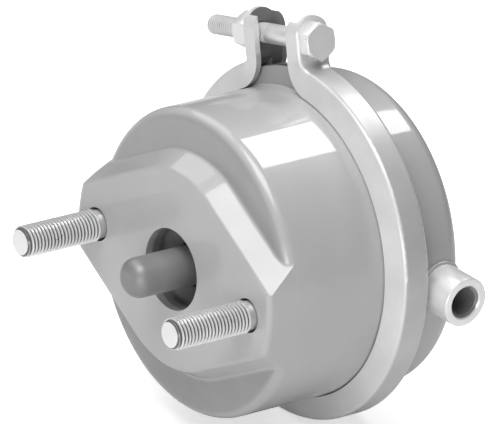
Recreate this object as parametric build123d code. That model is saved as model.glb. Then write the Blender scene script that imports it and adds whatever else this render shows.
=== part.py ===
"""Service air brake chamber for a disc brake, single diaphragm, type 24.

Frame: the origin is the centre of the mounting face, midway between the two studs.
-Y points out of the mounting face, along the studs and the push rod's stroke.
+X runs along the line of studs towards the air inlet, and +Z is up.
The chamber's axis is the Y axis. All sizes are in millimetres.
"""
from build123d import *
import math
import os

# Mounting interface
STUD_SPACING = 120.65
STUD_RADIUS = 8.0
STUD_LENGTH = 46.5
STUD_TIP_CHAMFER = 1.6
STUD_NECK = 0.5
STUD_HEAD_GAP = 1.0
STUD_HEAD_THICKNESS = 6.0
OPENING_RADIUS = 20.5

# Mounting pad, the lozenge that stands in front of the drum
PAD_CENTRE_RADIUS = 50.5
PAD_END_RADIUS = 21.0
PAD_HEIGHT = 12.5
PAD_DRAFT = 6.5
PAD_EDGE_FILLET = 3.0
PAD_FOOT_FILLET = 3.0
PAD_END_STEP = 0.05

# Front housing, the drum on the spring side
DRUM_MARGIN = 16.875
DRUM_SHOULDER = 6.0
FRONT_WALL = 4.0

# Rear cover, the housing on the air side
COVER_STEP = 2.8
COVER_TAPER = 0.6
COVER_CORNER = 9.0
COVER_DEPTH = 36.8
COVER_WALL = 3.5

# V-section clamp band and its lugs
JOINT_PLANE = 80.5
BAND_SHEET = 3.0
BAND_WEB_HALF = 7.1
BAND_SLOPE = 0.277
BAND_DEPTH = 9.4
BAND_CORNER = 2.0
BAND_EDGE_GAP = 0.6
LUG_ANGLE = 14.5
LUG_FACE = 22.0
LUG_HALF_WIDTH = 9.75
LUG_DEPTH = 9.4
LUG_CROWN = 12.5
LUG_BEND = 6.0
BEND_STEPS = 4

# Clamp bolt (M10 x 80) and nut
BOLT_RADIUS = 5.0
BOLT_LENGTH = 80.0
BOLT_HOLE_GAP = 0.5
BOLT_STANDOFF = 10.5
BOLT_TIP_CHAMFER = 1.0
HEX_ACROSS_FLATS = 17.0
BOLT_HEAD_HEIGHT = 6.4
NUT_HEIGHT = 10.0
HEX_CHAMFER = 0.8

# Housing flanges and diaphragm
FLANGE_TIP_GAP = 1.0
FLANGE_ROOT = 1.0
DIAPHRAGM = 3.0
DIAPHRAGM_CORNER = 12.0
DIAPHRAGM_TAPER = 2.5
DIAPHRAGM_SIDE_GAP = 1.0
DIAPHRAGM_REAR_GAP = 0.8

# Air inlet, M16 x 1.5 in a round boss
PORT_BOSS_RADIUS = 12.5
PORT_BOSS_REACH = 19.3
PORT_BAND_GAP = 0.8
PORT_BORE_RADIUS = 7.25
PORT_SPIGOT_RADIUS = 9.4
PORT_COUNTERSINK = 1.2
PORT_BOSS_CHAMFER = 1.5

# Push rod and pressure plate
ROD_RADIUS = 10.0
ROD_REACH = 27.0
ROD_TIP_FILLET = 7.0
ROD_BASE_RADIUS = 17.0
ROD_BASE_LENGTH = 9.0
ROD_SPIGOT_RADIUS = 8.0
PLATE_SIDE_GAP = 12.7
PLATE_SHEET = 4.0
PLATE_RIM = 9.0
PLATE_RIM_RADIUS = 6.0

# Return spring and its seat
SPRING_WIRE = 5.5
SPRING_FRONT_RADIUS = 58.0
SPRING_REAR_RADIUS = 28.0
SPRING_TURNS = 4.5
SEAT_SHEET = 2.5
SEAT_INNER_RADIUS = 34.0
SEAT_CORNER_GAP = 1.5
SEAT_COLLAR = 4.0

# Gaiter, its retainer and its clip
STUD_PLATE = 4.0
GAITER_BEAD_INNER = 23.0
GAITER_BEAD_OUTER = 29.0
GAITER_BEAD = 3.0
GAITER_WALL = 1.3
GAITER_FOLD_OUTER = 22.5
GAITER_FOLD_CLEARANCE = 4.5
GAITER_FOLDS = 6
GAITER_LENGTH = 70.0
GAITER_COLLAR = 7.0
GAITER_COLLAR_WALL = 2.5
RETAINER_SHEET = 2.0
RETAINER_FOOT = 5.0
CLIP_WIDTH = 4.0
CLIP_SHEET = 1.2

# Vent plugs in the drum's side
PLUG_Y = 56.0
PLUG_HEAD_RADIUS = 8.0
PLUG_HEAD_HEIGHT = 2.5
PLUG_STEM_RADIUS = 5.0
PLUG_BARB = 0.8
BREATHER_BORE_RADIUS = 2.2
BREATHER_DIRECTION = 180.0
DRAIN_DIRECTION = -90.0

# Clearances
SEAT_GAP = 0.05
FIT_GAP = 0.05
PLATE_GAP = 0.3

# Sizes and places worked out from the sizes above
PAD_SLOPE = PAD_DRAFT / PAD_HEIGHT
DRUM_RADIUS = STUD_SPACING / 2 + DRUM_MARGIN
DRUM_INNER_RADIUS = DRUM_RADIUS - FRONT_WALL
COVER_RADIUS = DRUM_RADIUS + COVER_STEP
COVER_REAR = JOINT_PLANE + COVER_DEPTH
BAND_RADIUS = COVER_RADIUS + BAND_EDGE_GAP + BAND_DEPTH
BAND_FRONT_DEPTH = BAND_DEPTH + COVER_STEP
BAND_REAR_EDGE = BAND_WEB_HALF + BAND_SLOPE * BAND_DEPTH
FLANGE_RADIUS = BAND_RADIUS - BAND_SHEET - FLANGE_TIP_GAP
BOLT_CENTRE_RADIUS = BAND_RADIUS + BOLT_STANDOFF
BOLT_HOLE_RADIUS = BOLT_RADIUS + BOLT_HOLE_GAP
LUG_TOP_RADIUS = BOLT_CENTRE_RADIUS + LUG_CROWN
PORT_BOSS_END = COVER_RADIUS + PORT_BOSS_REACH
PORT_Y = JOINT_PLANE + BAND_REAR_EDGE + PORT_BAND_GAP + PORT_BOSS_RADIUS
STUD_NECK_RADIUS = STUD_RADIUS + STUD_NECK
STUD_HEAD_RADIUS = DRUM_INNER_RADIUS - STUD_SPACING / 2 - STUD_HEAD_GAP
DIAPHRAGM_SIDE = DRUM_INNER_RADIUS - DIAPHRAGM_SIDE_GAP
DIAPHRAGM_FLOOR_SIDE = DIAPHRAGM_SIDE - DIAPHRAGM_TAPER
PLATE_RADIUS = DIAPHRAGM_FLOOR_SIDE - PLATE_SIDE_GAP
SEAT_OUTER_RADIUS = DRUM_RADIUS - DRUM_SHOULDER - SEAT_CORNER_GAP
GAITER_FOLD_INNER = ROD_RADIUS + GAITER_FOLD_CLEARANCE
DRUM_FRONT = PAD_HEIGHT
DRUM_FLOOR = DRUM_FRONT + FRONT_WALL
STUD_PLATE_REAR = FRONT_WALL + STUD_PLATE
FRONT_MATING_FACE = JOINT_PLANE - DIAPHRAGM / 2
REAR_MATING_FACE = JOINT_PLANE + DIAPHRAGM / 2
COVER_FLOOR = COVER_REAR - COVER_WALL
WEB_REAR = COVER_FLOOR - DIAPHRAGM_REAR_GAP
WEB_FRONT = WEB_REAR - DIAPHRAGM
PLATE_REAR = WEB_FRONT - PLATE_GAP
PLATE_FRONT = PLATE_REAR - PLATE_SHEET
SEAT_REAR = DRUM_FLOOR + SEAT_SHEET
GAITER_PITCH = (GAITER_LENGTH - GAITER_BEAD) / GAITER_FOLDS
BEND_START = math.degrees(math.asin((LUG_FACE + LUG_BEND) / (BAND_RADIUS + LUG_BEND)))
BEND_CENTRE_X = LUG_FACE + LUG_BEND
BEND_CENTRE_Z = (BAND_RADIUS + LUG_BEND) * math.cos(math.radians(BEND_START))

# Where a round bar or cone is set: on its end, or hanging from it
UPRIGHT = (Align.CENTER, Align.CENTER, Align.MIN)
HANGING = (Align.CENTER, Align.CENTER, Align.MAX)


def turned(points):
    """Revolve a closed outline of (radius, y) points once round the chamber's axis."""
    return revolve(make_face(Polyline(*points, close=True)), Axis.Y)


def vertex_near(face, radius, y):
    """The corner of a turned outline at this radius and height."""
    return face.vertices().sort_by_distance((radius, y, 0))[0]


def rod_along_y(radius, start, end, x=0.0, z=0.0):
    """A round bar along Y from start to end."""
    base = Plane(origin=(x, start, z), x_dir=(1, 0, 0), z_dir=(0, 1, 0))
    return extrude(base * Circle(radius), end - start)


def edges_at(shape, y, tolerance=0.01):
    """The edges that lie wholly in the plane at height y along the axis."""
    near = []
    for edge in shape.edges():
        box = edge.bounding_box()
        if abs(box.min.Y - y) < tolerance and abs(box.max.Y - y) < tolerance:
            near.append(edge)
    return near


# ---------------------------------------------------------------- front housing


def pad_outline(y, offset=0.0):
    """The lozenge at height y: the hull of a wide middle circle and two end circles."""
    edges = Circle(PAD_CENTRE_RADIUS + offset).edges()
    for side in (-1, 1):
        edges += (Pos(side * STUD_SPACING / 2, 0) * Circle(PAD_END_RADIUS + offset)).edges()
    return Plane.XZ.offset(-y) * make_hull(edges)


def pad_block(front, rear, inset):
    """The pad between two heights, wider towards the drum, with its walls drawn in by inset."""
    across = inset * math.hypot(1, PAD_SLOPE)
    ends = [pad_outline(y, PAD_SLOPE * y - across) for y in (front, rear)]
    return loft(ends)


def pad_form():
    """The pad's outer form, cut to the drum's round at its two ends, with its front edge rounded."""
    rear = DRUM_FRONT + 2 * DRUM_SHOULDER
    block = pad_block(0, rear, 0)
    block = fillet(edges_at(block, 0), PAD_EDGE_FILLET)
    side = DRUM_RADIUS - PAD_END_STEP
    face = make_face(Polyline((0, 0), (side, 0), (side, rear), (0, rear), close=True))
    return block & revolve(fillet(vertex_near(face, side, 0), PAD_EDGE_FILLET), Axis.Y)


def pad_hollow():
    """The space in the pad, behind its front wall."""
    rear = DRUM_FLOOR + FRONT_WALL
    side = DRUM_INNER_RADIUS - PAD_END_STEP
    return pad_block(FRONT_WALL, rear, FRONT_WALL) & rod_along_y(side, FRONT_WALL, rear)


def flange_face(radius):
    """Distance from the joint plane to a flange's sloping face, which the band's leg bears on."""
    across = BAND_SHEET * math.hypot(1, BAND_SLOPE)
    return BAND_WEB_HALF + BAND_SLOPE * (BAND_RADIUS - radius) - across - SEAT_GAP


def drum_outside():
    """The drum with its rounded shoulder and its flange, solid."""
    flange_root = JOINT_PLANE - flange_face(DRUM_RADIUS)
    outline = Polyline(
        (0, DRUM_FRONT),
        (DRUM_RADIUS, DRUM_FRONT),
        (DRUM_RADIUS, flange_root),
        (FLANGE_RADIUS, JOINT_PLANE - flange_face(FLANGE_RADIUS)),
        (FLANGE_RADIUS, FRONT_MATING_FACE),
        (0, FRONT_MATING_FACE),
        close=True,
    )
    face = make_face(outline)
    face = fillet(vertex_near(face, DRUM_RADIUS, DRUM_FRONT), DRUM_SHOULDER)
    face = fillet(vertex_near(face, DRUM_RADIUS, flange_root), FLANGE_ROOT)
    return revolve(face, Axis.Y)


def drum_inside():
    """The space in the drum, open at the joint plane."""
    outline = Polyline(
        (0, DRUM_FLOOR),
        (DRUM_INNER_RADIUS, DRUM_FLOOR),
        (DRUM_INNER_RADIUS, JOINT_PLANE),
        (0, JOINT_PLANE),
        close=True,
    )
    face = make_face(outline)
    shoulder = vertex_near(face, DRUM_INNER_RADIUS, DRUM_FLOOR)
    return revolve(fillet(shoulder, DRUM_SHOULDER - FRONT_WALL), Axis.Y)


def plug_hole(direction):
    """The round hole that a vent plug's stem fits, through the drum's side."""
    stem = Cylinder(PLUG_STEM_RADIUS + FIT_GAP, DRUM_RADIUS, align=UPRIGHT)
    return Pos(0, PLUG_Y, 0) * Rot(0, direction, 0) * stem


def front_form():
    """The front housing's outer form: the drum and the pad, with the fillet at the pad's foot."""
    body = drum_outside() + pad_form()
    foot = []
    for edge in edges_at(body, DRUM_FRONT):
        middle = edge @ 0.5
        if math.hypot(middle.X, middle.Z) < DRUM_RADIUS - DRUM_SHOULDER - 1:
            foot.append(edge)
    return fillet(foot, PAD_FOOT_FILLET)


def front_housing():
    """Drum and mounting pad in one even wall, open at the rear."""
    body = front_form() - (drum_inside() + pad_hollow())
    body -= rod_along_y(OPENING_RADIUS, -1, DRUM_FLOOR)
    for side in (-1, 1):
        body -= rod_along_y(STUD_NECK_RADIUS + FIT_GAP, -1, FRONT_WALL + 1, side * STUD_SPACING / 2)
    for direction in (BREATHER_DIRECTION, DRAIN_DIRECTION):
        body -= plug_hole(direction)
    return body


# ---------------------------------------------------------------- rear cover and air inlet


def cover_form(inset):
    """The cover as a solid, from the joint plane side to its rear, drawn in by inset."""
    side = COVER_RADIUS - inset
    rear = COVER_REAR - inset
    corner = COVER_CORNER - inset
    outline = [(0, REAR_MATING_FACE)]
    if inset == 0:
        outline.append((FLANGE_RADIUS, REAR_MATING_FACE))
        outline.append((FLANGE_RADIUS, JOINT_PLANE + flange_face(FLANGE_RADIUS)))
        outline.append((side, JOINT_PLANE + flange_face(side)))
    else:
        outline.append((side, REAR_MATING_FACE))
    outline.append((side - COVER_TAPER, rear))
    outline.append((0, rear))
    face = make_face(Polyline(*outline, close=True))
    return revolve(fillet(vertex_near(face, side - COVER_TAPER, rear), corner), Axis.Y)


def along_x(radius, start, end, y):
    """A round bar along X at height y."""
    base = Plane(origin=(start, y, 0), z_dir=(1, 0, 0))
    return extrude(base * Circle(radius), end - start)


def rear_cover():
    """The pressure housing, a deep cup with a flange and a hole for the inlet's spigot."""
    body = cover_form(0) - cover_form(COVER_WALL)
    return body - along_x(PORT_SPIGOT_RADIUS + FIT_GAP, 0, PORT_BOSS_END, PORT_Y)


def port_boss():
    """The air inlet: a round boss shaped to the cover, with a spigot through its wall."""
    boss = along_x(PORT_BOSS_RADIUS, 0, PORT_BOSS_END, PORT_Y)
    mouth = boss.faces().sort_by(Axis.X)[-1]
    boss = chamfer(mouth.edges(), PORT_BOSS_CHAMFER)
    boss -= cover_form(0)
    boss += along_x(PORT_SPIGOT_RADIUS, 0, COVER_RADIUS, PORT_Y) - cover_form(COVER_WALL)
    sink = PORT_BORE_RADIUS + PORT_COUNTERSINK
    boss -= along_x(PORT_BORE_RADIUS, 0, PORT_BOSS_END + 1, PORT_Y)
    countersink = Cone(PORT_BORE_RADIUS, sink, PORT_COUNTERSINK, align=HANGING)
    return boss - Pos(PORT_BOSS_END, PORT_Y, 0) * Rot(0, 90, 0) * countersink


# ---------------------------------------------------------------- clamp band, bolt and nut


def band_leg(ring_depth, blend):
    """One leg of the band's section as (depth, half width) points, from web to tip and back."""
    web = BAND_WEB_HALF + blend * (LUG_HALF_WIDTH - BAND_WEB_HALF)
    slope = (1 - blend) * BAND_SLOPE
    depth = ring_depth + blend * (LUG_DEPTH - ring_depth)
    edge = web + slope * depth
    across = BAND_SHEET * math.hypot(1, slope)
    inner_web = web + slope * BAND_SHEET - across
    return [(0, web), (depth, edge), (depth, edge - across), (BAND_SHEET, inner_web)]


def band_section(blend):
    """The band's section, from the ring's V (blend 0) to the lug's channel (blend 1)."""
    front_leg = [(x, -y) for x, y in reversed(band_leg(BAND_FRONT_DEPTH, blend))]
    face = make_face(Polyline(*band_leg(BAND_DEPTH, blend), *front_leg, close=True))
    corners = [v for v in face.vertices() if abs(v.X) < 0.01]
    return fillet(corners, BAND_CORNER)


def bend_plane(angle):
    """The section's plane where the right-hand bend has turned to this angle from the top."""
    radians = math.radians(angle)
    inward = Vector(-math.sin(radians), 0, -math.cos(radians))
    centre = Vector(BEND_CENTRE_X, JOINT_PLANE, BEND_CENTRE_Z)
    origin = centre + inward * LUG_BEND
    return Plane(origin=origin, x_dir=inward, z_dir=inward.cross(Vector(0, 1, 0)))


def band_ring():
    """The V-section ring, from one bend round the bottom to the other."""
    section = bend_plane(BEND_START) * band_section(0)
    return revolve(section, Axis.Y, 360 - 2 * BEND_START)


def band_bend():
    """The right-hand bend, in which the V opens into the lug's channel."""
    sections = []
    for step in range(BEND_STEPS + 1):
        share = step / BEND_STEPS
        angle = BEND_START + share * (90 - BEND_START)
        sections.append(bend_plane(angle) * band_section(share))
    return loft(sections)


def band_lug():
    """The right-hand lug: a channel with a round top and a bolt hole in its web."""
    height = LUG_TOP_RADIUS - BEND_CENTRE_Z
    lug = extrude(bend_plane(90) * band_section(1), height, dir=(0, 0, 1))
    arch_centre = LUG_TOP_RADIUS - LUG_HALF_WIDTH
    arch = along_x(LUG_HALF_WIDTH, 0, 2 * LUG_FACE, JOINT_PLANE)
    below = Box(2 * LUG_FACE, 2 * LUG_HALF_WIDTH, height, align=(Align.MIN, Align.CENTER, Align.MAX))
    keep = Pos(0, 0, arch_centre) * arch + Pos(0, JOINT_PLANE, arch_centre) * below
    lug &= keep
    return lug - Pos(0, 0, BOLT_CENTRE_RADIUS) * along_x(BOLT_HOLE_RADIUS, 0, 2 * LUG_FACE, JOINT_PLANE)


def to_lug_place(shape):
    """Turn a shape built with the lugs at the top to the lugs' real direction."""
    return Rot(0, -LUG_ANGLE, 0) * shape


def clamp_band():
    """The clamp: ring, two bends and two lugs, in one strip of sheet."""
    end = band_bend() + band_lug()
    return to_lug_place(band_ring() + end + mirror(end, about=Plane.YZ))


def hexagon(height, start):
    """A hexagon along X from start, with its outer face chamfered."""
    base = Plane(origin=(start, JOINT_PLANE, BOLT_CENTRE_RADIUS), x_dir=(0, 1, 0), z_dir=(1, 0, 0))
    corner = HEX_ACROSS_FLATS / math.sqrt(3)
    prism = extrude(base * RegularPolygon(corner, 6), height)
    outer = max(start, start + height, key=abs)
    round_limit = extrude(base * Circle(corner), height)
    rim = [e for e in round_limit.edges() if abs(e.center().X - outer) < 0.01]
    return prism & chamfer(rim, HEX_CHAMFER, HEX_CHAMFER * 2)


def clamp_bolt():
    """The M10 hexagon bolt that draws the lugs together."""
    start = LUG_FACE
    shank = Pos(0, 0, BOLT_CENTRE_RADIUS) * along_x(BOLT_RADIUS, start - BOLT_LENGTH, start, JOINT_PLANE)
    shank = chamfer(shank.faces().sort_by(Axis.X)[0].edges(), BOLT_TIP_CHAMFER)
    return to_lug_place(shank + hexagon(BOLT_HEAD_HEIGHT, start))


def clamp_nut():
    """The nut on the bolt's long threaded end."""
    nut = hexagon(-NUT_HEIGHT, -LUG_FACE)
    bore = Pos(0, 0, BOLT_CENTRE_RADIUS) * along_x(BOLT_RADIUS + FIT_GAP, -2 * LUG_FACE, 0, JOINT_PLANE)
    return to_lug_place(nut - bore)


# ---------------------------------------------------------------- studs and their plate


def stud_plate():
    """The reinforcing plate in the pad, under the stud heads and round the opening."""
    inset = FRONT_WALL * math.hypot(1, PAD_SLOPE) + PLATE_GAP
    outline = pad_outline(FRONT_WALL, PAD_SLOPE * FRONT_WALL - inset)
    plate = extrude(outline, STUD_PLATE, dir=(0, 1, 0))
    plate &= rod_along_y(DRUM_INNER_RADIUS - PAD_END_STEP - PLATE_GAP, 0, DRUM_FLOOR)
    plate -= rod_along_y(OPENING_RADIUS, 0, DRUM_FLOOR)
    for side in (-1, 1):
        plate -= rod_along_y(STUD_NECK_RADIUS + FIT_GAP, 0, DRUM_FLOOR, side * STUD_SPACING / 2)
    return plate


def mounting_stud(side):
    """One M16 stud: its thread, its thicker pressed-in neck and its round head inside the pad."""
    x = side * STUD_SPACING / 2
    thread = rod_along_y(STUD_RADIUS, -STUD_LENGTH, 0, x)
    thread = chamfer(edges_at(thread, -STUD_LENGTH), STUD_TIP_CHAMFER)
    neck = rod_along_y(STUD_NECK_RADIUS, 0, STUD_PLATE_REAR, x)
    head_rear = STUD_PLATE_REAR + STUD_HEAD_THICKNESS
    return thread + neck + rod_along_y(STUD_HEAD_RADIUS, STUD_PLATE_REAR, head_rear, x)


# ---------------------------------------------------------------- rod, plate and diaphragm


def push_rod():
    """The push rod with its rounded tip, its base cone and the spigot through the plate."""
    base_start = PLATE_FRONT - ROD_BASE_LENGTH
    outline = Polyline(
        (0, -ROD_REACH),
        (ROD_RADIUS, -ROD_REACH),
        (ROD_RADIUS, base_start),
        (ROD_BASE_RADIUS, PLATE_FRONT - ROD_BASE_LENGTH / 3),
        (ROD_BASE_RADIUS, PLATE_FRONT),
        (ROD_SPIGOT_RADIUS, PLATE_FRONT),
        (ROD_SPIGOT_RADIUS, PLATE_REAR),
        (0, PLATE_REAR),
        close=True,
    )
    face = make_face(outline)
    return revolve(fillet(vertex_near(face, ROD_RADIUS, -ROD_REACH), ROD_TIP_FILLET), Axis.Y)


def pressure_plate():
    """The dished steel plate: flat middle, and a rim turned forward away from the diaphragm."""
    inner_rim = PLATE_RADIUS - PLATE_SHEET
    outline = Polyline(
        (ROD_SPIGOT_RADIUS + FIT_GAP, PLATE_FRONT),
        (inner_rim, PLATE_FRONT),
        (inner_rim, PLATE_FRONT - PLATE_RIM + PLATE_SHEET),
        (PLATE_RADIUS, PLATE_FRONT - PLATE_RIM + PLATE_SHEET),
        (PLATE_RADIUS, PLATE_REAR),
        (ROD_SPIGOT_RADIUS + FIT_GAP, PLATE_REAR),
        close=True,
    )
    face = make_face(outline)
    face = fillet(vertex_near(face, PLATE_RADIUS, PLATE_REAR), PLATE_RIM_RADIUS)
    inner = vertex_near(face, inner_rim, PLATE_FRONT)
    return revolve(fillet(inner, PLATE_RIM_RADIUS - PLATE_SHEET), Axis.Y)


def diaphragm():
    """The rubber diaphragm: a rim between the flanges and a bowl that lies in the cover."""
    side = DIAPHRAGM_SIDE
    floor_side = DIAPHRAGM_FLOOR_SIDE
    rear = [
        (FLANGE_RADIUS, REAR_MATING_FACE),
        (side, REAR_MATING_FACE),
        (floor_side, WEB_REAR),
        (0, WEB_REAR),
    ]
    front = [
        (0, WEB_FRONT),
        (floor_side - DIAPHRAGM, WEB_FRONT),
        (side - DIAPHRAGM, FRONT_MATING_FACE),
        (FLANGE_RADIUS, FRONT_MATING_FACE),
    ]
    face = make_face(Polyline(*rear, *front, close=True))
    face = fillet(vertex_near(face, floor_side, WEB_REAR), DIAPHRAGM_CORNER)
    inner = vertex_near(face, floor_side - DIAPHRAGM, WEB_FRONT)
    return revolve(fillet(inner, DIAPHRAGM_CORNER - DIAPHRAGM), Axis.Y)


# ---------------------------------------------------------------- return spring and its seat


def spring_seat():
    """The ring under the spring's large end, with a collar round the coil that centres it."""
    collar = SPRING_FRONT_RADIUS + SPRING_WIRE / 2 + PLATE_GAP
    return turned([
        (SEAT_INNER_RADIUS, DRUM_FLOOR),
        (SEAT_OUTER_RADIUS, DRUM_FLOOR),
        (SEAT_OUTER_RADIUS, SEAT_REAR),
        (collar + SEAT_SHEET, SEAT_REAR),
        (collar + SEAT_SHEET, SEAT_REAR + SEAT_COLLAR),
        (collar, SEAT_REAR + SEAT_COLLAR),
        (collar, SEAT_REAR),
        (SEAT_INNER_RADIUS, SEAT_REAR),
    ])


def return_spring():
    """The conical return spring, its large end forward, with both ends ground flat."""
    length = PLATE_FRONT - SEAT_REAR
    cone = -math.degrees(math.atan((SPRING_FRONT_RADIUS - SPRING_REAR_RADIUS) / length))
    coil = Edge.make_helix(
        length / SPRING_TURNS,
        length,
        SPRING_FRONT_RADIUS,
        center=(0, SEAT_REAR, 0),
        normal=(0, 1, 0),
        angle=cone,
    )
    start = Plane(origin=coil @ 0, z_dir=coil % 0)
    wire = sweep(start * Circle(SPRING_WIRE / 2), path=coil)
    ground = rod_along_y(2 * SPRING_FRONT_RADIUS, SEAT_REAR, PLATE_FRONT)
    return wire & ground


# ---------------------------------------------------------------- gaiter


def gaiter_wall_across():
    """The gaiter's wall measured straight out from the axis, across one slanting fold."""
    rise = GAITER_FOLD_OUTER - GAITER_FOLD_INNER
    return GAITER_WALL * math.hypot(rise, GAITER_PITCH / 2) / (GAITER_PITCH / 2)


def gaiter():
    """The rubber bellows from its large bead on the stud plate back to its collar on the rod."""
    first_fold = STUD_PLATE_REAR + GAITER_BEAD
    collar_start = STUD_PLATE_REAR + GAITER_LENGTH
    collar_end = collar_start + GAITER_COLLAR
    inside = [(GAITER_BEAD_INNER, STUD_PLATE_REAR)]
    for fold in range(GAITER_FOLDS):
        y = first_fold + fold * GAITER_PITCH
        inside.append((GAITER_FOLD_OUTER, y))
        inside.append((GAITER_FOLD_INNER, y + GAITER_PITCH / 2))
    bore = ROD_RADIUS + FIT_GAP
    inside += [(bore, collar_start), (bore, collar_end)]
    outside = [(bore + GAITER_COLLAR_WALL, collar_end), (bore + GAITER_COLLAR_WALL, collar_start)]
    across = gaiter_wall_across()
    for x, y in reversed(inside[1:-2]):
        outside.append((x + across, y))
    outside += [(GAITER_BEAD_OUTER, first_fold), (GAITER_BEAD_OUTER, STUD_PLATE_REAR)]
    return turned(inside + outside)


def gaiter_retainer():
    """The pressed ring that holds the gaiter's large bead against the stud plate."""
    bead_rear = STUD_PLATE_REAR + GAITER_BEAD + SEAT_GAP
    wall = GAITER_BEAD_OUTER + FIT_GAP
    lip = GAITER_FOLD_OUTER + gaiter_wall_across() + PLATE_GAP
    return turned([
        (wall, STUD_PLATE_REAR),
        (wall + RETAINER_FOOT, STUD_PLATE_REAR),
        (wall + RETAINER_FOOT, STUD_PLATE_REAR + RETAINER_SHEET),
        (wall + RETAINER_SHEET, STUD_PLATE_REAR + RETAINER_SHEET),
        (wall + RETAINER_SHEET, bead_rear + RETAINER_SHEET),
        (lip, bead_rear + RETAINER_SHEET),
        (lip, bead_rear),
        (wall, bead_rear),
    ])


def gaiter_clip():
    """The clip round the gaiter's collar."""
    inner = ROD_RADIUS + FIT_GAP + GAITER_COLLAR_WALL + FIT_GAP
    middle = STUD_PLATE_REAR + GAITER_LENGTH + GAITER_COLLAR / 2
    start = middle - CLIP_WIDTH / 2
    end = middle + CLIP_WIDTH / 2
    return turned([(inner, start), (inner + CLIP_SHEET, start), (inner + CLIP_SHEET, end), (inner, end)])


# ---------------------------------------------------------------- vent plugs


def vent_plug(direction, bore):
    """A plug in the drum's side: a head that lies on the drum, a stem and a barb inside."""
    barb_radius = PLUG_STEM_RADIUS + PLUG_BARB
    stem_start = DRUM_INNER_RADIUS - 2 * PLUG_BARB
    head_top = DRUM_RADIUS + PLUG_HEAD_HEIGHT
    head = Cylinder(PLUG_HEAD_RADIUS, head_top - stem_start, align=UPRIGHT)
    head = chamfer(head.edges().sort_by(Axis.Z)[-1], PLUG_BARB)
    stem = Cylinder(PLUG_STEM_RADIUS, DRUM_RADIUS - stem_start, align=UPRIGHT)
    barb = Cone(PLUG_STEM_RADIUS, barb_radius, PLUG_BARB, align=UPRIGHT)
    place = Pos(0, PLUG_Y, 0) * Rot(0, direction, 0)
    foot = place * Pos(0, 0, stem_start)
    body = foot * head - drum_outside() + foot * (stem + barb)
    if bore:
        body -= place * Cylinder(bore, 2 * DRUM_RADIUS, align=UPRIGHT)
    return body


def build_parts():
    """Every piece of the chamber, by its node's name."""
    return {
        "front_housing": front_housing(),
        "rear_cover": rear_cover(),
        "port_boss": port_boss(),
        "clamp_band": clamp_band(),
        "clamp_bolt": clamp_bolt(),
        "clamp_nut": clamp_nut(),
        "stud_plate": stud_plate(),
        "mounting_stud_left": mounting_stud(-1),
        "mounting_stud_right": mounting_stud(1),
        "push_rod": push_rod(),
        "pressure_plate": pressure_plate(),
        "diaphragm": diaphragm(),
        "spring_seat": spring_seat(),
        "return_spring": return_spring(),
        "gaiter": gaiter(),
        "gaiter_retainer": gaiter_retainer(),
        "gaiter_clip": gaiter_clip(),
        "breather_plug": vent_plug(BREATHER_DIRECTION, BREATHER_BORE_RADIUS),
        "drain_plug": vent_plug(DRAIN_DIRECTION, 0),
    }


if __name__ == "__main__":
    os.makedirs("parts", exist_ok=True)
    for name, shape in build_parts().items():
        print(name, shape.is_valid, round(shape.volume), len(shape.faces()))
        export_step(shape, "parts/" + name + ".step")
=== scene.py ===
"""Dresses the air brake chamber: threads, rubber, springs, finishes, light and camera.

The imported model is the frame. The chamber's axis is the Y axis, the mounting face lies at Y = 0 with
-Y out of it, +X runs along the studs towards the air inlet and +Z is up. Lengths are in metres.
"""
import logging
import math
from dataclasses import dataclass, field, replace
from enum import Enum

import bpy
from mathutils import Matrix, Vector


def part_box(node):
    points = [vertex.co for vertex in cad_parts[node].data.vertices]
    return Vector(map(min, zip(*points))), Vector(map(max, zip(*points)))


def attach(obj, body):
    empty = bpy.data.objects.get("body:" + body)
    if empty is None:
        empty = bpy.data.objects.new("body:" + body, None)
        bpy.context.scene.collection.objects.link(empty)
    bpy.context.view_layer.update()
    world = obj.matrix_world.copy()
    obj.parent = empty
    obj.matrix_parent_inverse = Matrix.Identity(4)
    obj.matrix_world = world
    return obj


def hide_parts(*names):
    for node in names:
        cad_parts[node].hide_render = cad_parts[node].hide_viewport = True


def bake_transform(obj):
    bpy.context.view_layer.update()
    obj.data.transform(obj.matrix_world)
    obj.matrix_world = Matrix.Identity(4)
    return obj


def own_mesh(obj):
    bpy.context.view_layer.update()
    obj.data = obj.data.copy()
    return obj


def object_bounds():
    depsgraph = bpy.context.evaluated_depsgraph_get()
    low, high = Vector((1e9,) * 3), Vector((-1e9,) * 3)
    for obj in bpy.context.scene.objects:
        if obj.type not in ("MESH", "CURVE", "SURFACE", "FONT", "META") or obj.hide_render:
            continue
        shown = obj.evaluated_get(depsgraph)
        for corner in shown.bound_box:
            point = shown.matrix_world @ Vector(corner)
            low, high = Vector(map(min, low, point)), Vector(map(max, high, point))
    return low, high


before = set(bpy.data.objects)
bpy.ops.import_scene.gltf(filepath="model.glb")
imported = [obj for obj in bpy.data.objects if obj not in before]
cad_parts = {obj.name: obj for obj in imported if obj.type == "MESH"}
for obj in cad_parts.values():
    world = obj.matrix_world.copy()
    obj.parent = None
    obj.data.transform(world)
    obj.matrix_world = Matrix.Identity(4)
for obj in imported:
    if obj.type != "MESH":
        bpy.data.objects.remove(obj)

LOG = logging.getLogger("brake_chamber")
CAD_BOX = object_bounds()
MM = 0.001
MERGE_DISTANCE = 0.000002
CUT_DISTANCE = 0.0000002

Point = tuple[float, float]
Span = tuple[float, float]
Triple = tuple[float, float, float]
Socket = bpy.types.NodeSocket
Material = bpy.types.Material
Piece = bpy.types.Object

RAMP_ENDS = ("From Min", "From Max", "To Min", "To Max")
RISE: Span = (0.0, 1.0)
FALL: Span = (1.0, 0.0)


class Body(str, Enum):
    """The two rigid bodies of the chamber."""

    CHAMBER = "chamber"
    ROD = "rod"


class Axis(str, Enum):
    """Axes that a lathe or a screw turns about."""

    Y = "Y"
    Z = "Z"


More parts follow.
